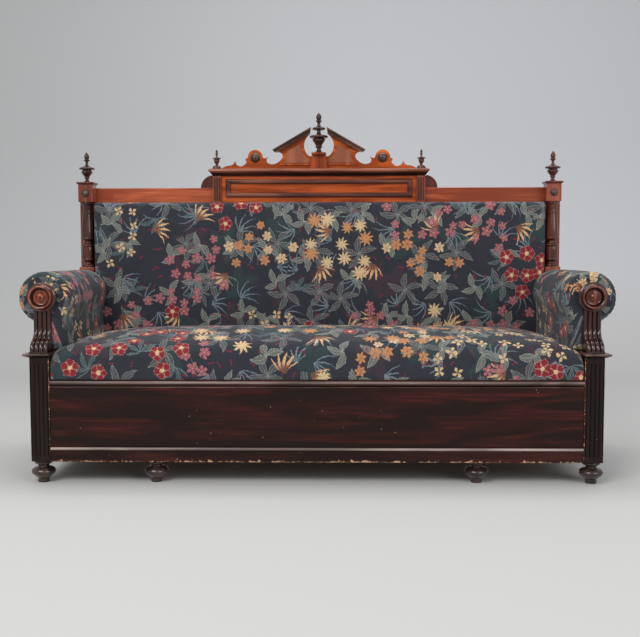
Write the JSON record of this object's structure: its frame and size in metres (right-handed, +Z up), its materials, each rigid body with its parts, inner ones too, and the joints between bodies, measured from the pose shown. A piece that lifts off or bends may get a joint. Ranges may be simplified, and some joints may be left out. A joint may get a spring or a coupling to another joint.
{
  "type": "pull-out sofa bed",
  "caption": "Antique mahogany sofa bed with rolled arms, turned posts and a pediment crest; the front pulls out into a bed and the sprung seat lifts off.",
  "frame": {"origin": "on the floor, in the middle of the sofa's length and depth", "axes": "+X along the length to the right seen from the front, -Y out of the front, +Z up"},
  "size_m": [1.95, 0.673, 1.285],
  "materials": {
    "dark_mahogany": "glossy French-polished dark mahogany with worn edges",
    "red_mahogany": "glossy orange-red mahogany with straight figure",
    "ebonised_moulding": "dark stained and polished mouldings and turnings",
    "pale_veneer": "satin pale pinkish-brown veneer",
    "pine": "raw planed pine, not varnished",
    "floral_cover": "woven cover, charcoal ground with scattered flowers and leaves",
    "back_cloth": "plain dark calico",
    "jute_webbing": "coarse jute strap",
    "spring_steel": "copper-washed spring wire"
  },
  "bodies": {
    "carcase": {"front_post_left": "dark_mahogany", "front_post_right": "dark_mahogany", "rear_post_left": "red_mahogany", "rear_post_right": "red_mahogany", "corner_feet": "ebonised_moulding", "end_panel_left": "dark_mahogany", "end_panel_right": "dark_mahogany", "end_base_rails": "dark_mahogany", "end_top_rails": "pine", "ledge_left": "dark_mahogany", "ledge_right": "dark_mahogany", "seat_bearers": "pine", "front_rail": "dark_mahogany", "slat_bearers": "pine", "drawer_runners": "pine", "fixed_slats": "pine", "back_board": "pine", "back_stile_left": "red_mahogany", "back_stile_right": "red_mahogany", "back_top_rail": "red_mahogany", "back_lower_rail": "pine", "back_uprights": "pine", "backrest_pad": "floral_cover", "outside_back_cloth": "back_cloth", "post_caps": "ebonised_moulding", "post_finials": "ebonised_moulding", "post_bosses": "ebonised_moulding", "crest_panel": "red_mahogany", "crest_strips": "red_mahogany", "panel_moulding": "ebonised_moulding", "cornice": "ebonised_moulding", "pediment_board": "red_mahogany", "tympanum_panels": "pale_veneer", "raking_cornices": "ebonised_moulding", "keystone": "ebonised_moulding", "centre_finial": "ebonised_moulding", "cornice_finials": "ebonised_moulding", "ear_brackets": "red_mahogany", "pediment_bosses": "ebonised_moulding", "arm_console_left": "dark_mahogany", "arm_console_right": "dark_mahogany", "arm_rosettes": "dark_mahogany", "arm_pad_left": "floral_cover", "arm_pad_right": "floral_cover", "arm_frames": "pine"},
    "seat": {"seat_frame": "pine", "seat_webbing": "jute_webbing", "seat_springs": "spring_steel", "seat_cushion": "floral_cover"},
    "drawer": {"drawer_front_board": "dark_mahogany", "drawer_base_rail": "dark_mahogany", "drawer_bead": "dark_mahogany", "drawer_sides": "pine", "drawer_ledger": "pine", "drawer_slats": "pine", "drawer_stops": "pine", "drawer_feet": "ebonised_moulding"}
  },
  "joints": [
    {"name": "bed_pullout", "type": "slide", "parent": "carcase", "child": "drawer", "axis": [0, -1, 0], "range_m": [0, 0.478]},
    {"name": "seat_lift", "type": "slide", "parent": "carcase", "child": "seat", "axis": [0, 0, 1], "range_m": [0, 0.45]}
  ]
}
